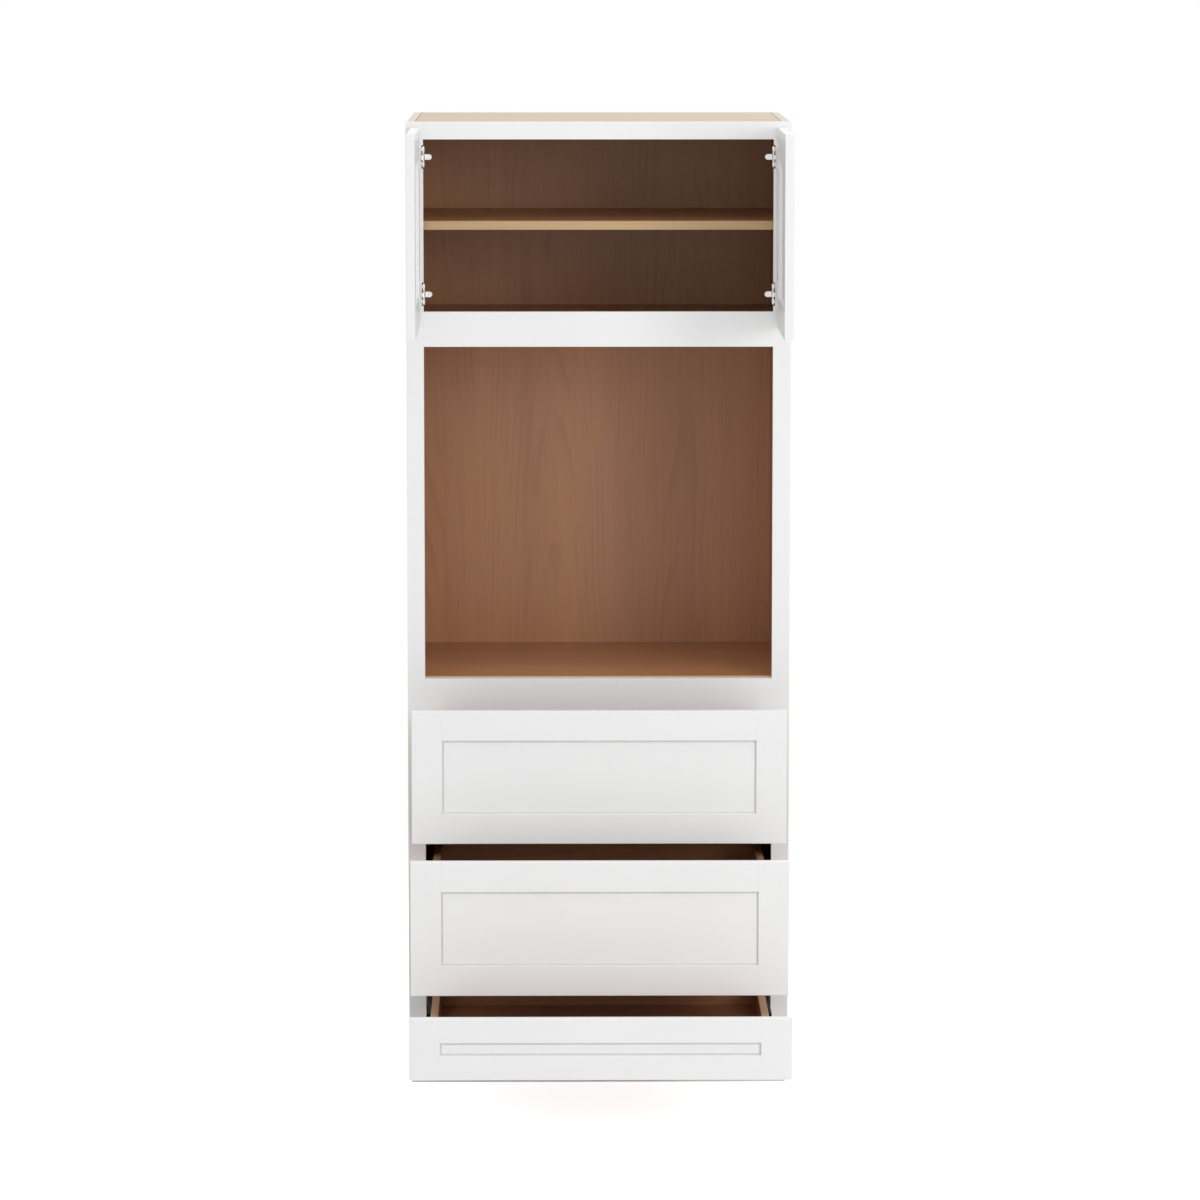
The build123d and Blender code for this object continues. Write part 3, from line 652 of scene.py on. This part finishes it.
# Soft bumpers in the upper corners of the drawer fronts
BUMPER_RADIUS, BUMPER_HEIGHT = 4.0 * MM, 2.4 * MM
BUMPER_FROM_SIDE, BUMPER_FROM_TOP = 14 * MM, 12 * MM
BUMPER_DOME = ((1.0, 0.0), (1.0, 0.35), (0.93, 0.62), (0.78, 0.83), (0.55, 0.95), (0.25, 1.0))
for drawer in DRAWERS:
    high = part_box(f"{drawer}_front_stiles")[1]
    corners = [((sign * (high.x - BUMPER_FROM_SIDE), high.y, high.z - BUMPER_FROM_TOP), (0, 1, 0))
               for sign in SIDES.values()]
    dome = bmesh.new()
    turned(dome, [(BUMPER_RADIUS * r, BUMPER_HEIGHT * h) for r, h in BUMPER_DOME])
    add_piece(f"{drawer}_front_bumpers", set_in_place(dome, corners), clear_bumper, drawer, "clear_bumper")


# Stamped release levers on the drawer members, inside their channels
LEVER_SETBACK = 180 * MM
LEVER_THICKNESS = 2.2 * MM
LEVER_EASED = 0.6 * MM
LEVER_STEPS = 10


def release_lever(pivot):
    """A flat stamped lever from a round pivot end back to a narrower tip, for the right-hand side."""
    shape = bmesh.new()
    pivot_radius, tip_radius, reach = 6.0 * MM, 3.4 * MM, 38.0 * MM
    lean = math.asin((pivot_radius - tip_radius) / reach)
    corners = []
    for radius, along, first, last in ((tip_radius, reach, -math.pi / 2 + lean, math.pi / 2 - lean),
                                       (pivot_radius, 0.0, math.pi / 2 - lean, 3 * math.pi / 2 + lean)):
        for i in range(LEVER_STEPS + 1):
            angle = first + (last - first) * i / LEVER_STEPS
            corners.append(pivot + Vector((0, along + radius * math.cos(angle), radius * math.sin(angle))))
    base = [shape.verts.new(corner) for corner in corners]
    top = [shape.verts.new(corner + Vector((LEVER_THICKNESS, 0, 0))) for corner in corners]
    shape.faces.new(reversed(base))
    shape.faces.new(top)
    for i in range(len(base)):
        shape.faces.new((base[i - 1], base[i], top[i], top[i - 1]))
    rim = [edge for edge in shape.edges if edge.verts[0] in top and edge.verts[1] in top]
    bmesh.ops.bevel(shape, geom=rim, offset=LEVER_EASED, segments=3, profile=0.5, affect="EDGES")
    return shape


def on_both_sides(shape):
    """A new shape that has this one and its mirror image across the middle of the cabinet."""
    half = bpy.data.meshes.new("half")
    shape.to_mesh(half)
    shape.free()
    pair = bmesh.new()
    pair.from_mesh(half)
    half.transform(Matrix.Scale(-1, 4, (1, 0, 0)))
    half.flip_normals()
    pair.from_mesh(half)
    bpy.data.meshes.remove(half)
    return pair


for drawer in DRAWERS:
    low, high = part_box(f"{drawer}_slide_members")
    web_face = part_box(f"{drawer}_box_ends")[1].x + SLIDE_STEEL
    pivot = Vector((web_face, low.y + LEVER_SETBACK, (low.z + high.z) / 2))
    levers = on_both_sides(release_lever(pivot))
    add_piece(f"{drawer}_release_levers", levers, black_coat, drawer, "black_coated_steel")


# Staples through the back panel into the decks
def crown_staple(crown, wire, depth):
    """Flat wire bent to a staple, its crown half sunk in the plane z = 0 and its legs below."""
    shape = bmesh.new()
    half, bend = crown / 2, wire
    path = [(-half, -depth), (-half, -bend), (-half + bend * 0.3, -bend * 0.3), (-half + bend, 0),
            (half - bend, 0), (half - bend * 0.3, -bend * 0.3), (half, -bend), (half, -depth)]
    loops = []
    for i, (x, z) in enumerate(path):
        before, after = Vector(path[max(i - 1, 0)]), Vector(path[min(i + 1, len(path) - 1)])
        ahead = (after - before).normalized()
        out = Vector((-ahead.y, ahead.x)) * wire * 0.3
        loops.append([shape.verts.new((x + side * out.x, across, z + side * out.y))
                      for side, across in ((-1, -wire / 2), (1, -wire / 2), (1, wire / 2), (-1, wire / 2))])
    for first, second in zip(loops, loops[1:]):
        for i in range(4):
            shape.faces.new((first[i - 1], first[i], second[i], second[i - 1]))
    shape.faces.new(loops[0])
    shape.faces.new(reversed(loops[-1]))
    bmesh.ops.recalc_face_normals(shape, faces=shape.faces)
    return shape


STAPLE_FROM_SIDE = 50 * MM
STAPLES_PER_HALF = 3
panel_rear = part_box("back_panel")[1].y
staple_places = []
for deck in ("oven_deck", "upper_deck"):
    low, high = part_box(deck)
    reach = high.x - STAPLE_FROM_SIDE
    staple_places += [((reach * i / STAPLES_PER_HALF, panel_rear, (low.z + high.z) / 2), (0, 1, 0))
                      for i in range(-STAPLES_PER_HALF, STAPLES_PER_HALF + 1)]
staples = set_in_place(crown_staple(crown=11 * MM, wire=1.2 * MM, depth=9 * MM), staple_places)
add_piece("back_panel_staples", staples, zinc, "cabinet", "zinc_plated_steel")


# Studio
FLOOR_RADIUS = 60.0
SHADOW_CENTRE_Y = -0.6
SHADOW_INNER, SHADOW_OUTER = 1.2, 3.0
FLOOR_GREY = (0.85, 0.85, 0.85, 1)
SHADOW_TINT = (0.96, 0.99, 1, 1)
FULL_WHITE = {"Color": (1, 1, 1, 1), "Strength": 1.0}


def softbox(name, place, aim, size, watts):
    """A large soft lamp that points at a place."""
    lamp = bpy.data.lights.new(name, "AREA")
    lamp.size = size
    lamp.energy = watts
    holder = bpy.data.objects.new(name, lamp)
    holder.location = place
    holder.rotation_euler = (Vector(aim) - Vector(place)).to_track_quat("-Z", "Y").to_euler()
    bpy.context.scene.collection.objects.link(holder)


def any_ray(finish, *kinds):
    """1 for rays of any of these kinds, 0 for the others."""
    found = [finish.node("ShaderNodeLightPath", {}, {}, f"Is {kind} Ray") for kind in kinds]
    either = found[0]
    for ray in found[1:]:
        either = either.math("MAXIMUM", either, ray)
    return either


def pale_floor(lift):
    """A round white floor. The camera sees it lifted towards white, and pure white away from the cabinet.

    Metal and gloss show it white everywhere.
    """
    shape = bmesh.new()
    bmesh.ops.create_circle(shape, cap_ends=True, segments=96, radius=FLOOR_RADIUS)
    mesh = bpy.data.meshes.new("studio_floor")
    shape.to_mesh(mesh)
    shape.free()
    floor = bpy.data.objects.new("studio_floor", mesh)
    bpy.context.scene.collection.objects.link(floor)
    finish = Finish("studio_floor_white")
    x, y = finish.place()[:2]
    y = y - SHADOW_CENTRE_Y
    far = finish.ramp((x * x + y * y) ** 0.5, SHADOW_INNER, SHADOW_OUTER)
    plain = finish.node("ShaderNodeBsdfDiffuse", {}, {"Color": FLOOR_GREY})
    lit = finish.node("ShaderNodeEmission", {}, {"Color": SHADOW_TINT, "Strength": lift})
    near = finish.node("ShaderNodeAddShader", {}, {0: plain, 1: lit})
    white = finish.node("ShaderNodeEmission", {}, FULL_WHITE)
    shown = finish.node("ShaderNodeMixShader", {}, {0: far, 1: near, 2: white})
    surface = finish.node("ShaderNodeMixShader", {}, {0: any_ray(finish, "Camera"), 1: plain, 2: shown})
    mirrored = any_ray(finish, "Glossy", "Transmission")
    surface = finish.node("ShaderNodeMixShader", {}, {0: mirrored, 1: surface, 2: white})
    finish.close("ShaderNodeOutputMaterial", surface)
    mesh.materials.append(finish.owner)
    floor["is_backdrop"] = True


def plain_world(strength):
    """Even light from all sides, seen as white by the camera and in metal and gloss."""
    finish = Finish("studio", "worlds")
    shown = any_ray(finish, "Camera", "Glossy", "Transmission")
    dim = finish.node("ShaderNodeBackground", {}, {"Color": (1, 1, 1, 1), "Strength": strength})
    white = finish.node("ShaderNodeBackground", {}, FULL_WHITE)
    background = finish.node("ShaderNodeMixShader", {}, {0: shown, 1: dim, 2: white})
    finish.close("ShaderNodeOutputWorld", background)
    bpy.context.scene.world = finish.owner


plain_world(strength=0.78)
pale_floor(lift=0.81)
softbox("key_lamp", place=(3.6, -6.5, 2.6), aim=(0, -0.6, 1.2), size=2.0, watts=88)
softbox("top_lamp", place=(0.3, -1.8, 5.5), aim=(0, -0.6, 1.0), size=2.5, watts=40)
softbox("back_lamp", place=(2.4, 4.6, 3.0), aim=(0, -0.3, 1.0), size=2.0, watts=60)

# Camera at the photograph's place, a little left of the middle and above the top, looking down
CAMERA_PLACE = (-0.0939, -12.2174, 2.5415)
LOOKING_DOWN = math.radians(7.1365)
TURNED_RIGHT = math.radians(0.4799)
camera_data = bpy.data.cameras.new("camera")
camera_data.lens = 159.995
camera_data.sensor_width = 36.0
camera_data.clip_end = 200.0
camera = bpy.data.objects.new("camera", camera_data)
camera.location = CAMERA_PLACE
camera.rotation_euler = (math.pi / 2 - LOOKING_DOWN, 0, -TURNED_RIGHT)
bpy.context.scene.collection.objects.link(camera)
bpy.context.scene.camera = camera

bpy.context.scene.view_settings.view_transform = "Standard"

boxes = {"cad": [list(corner) for corner in cad_box], "visual": [list(corner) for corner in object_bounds()]}
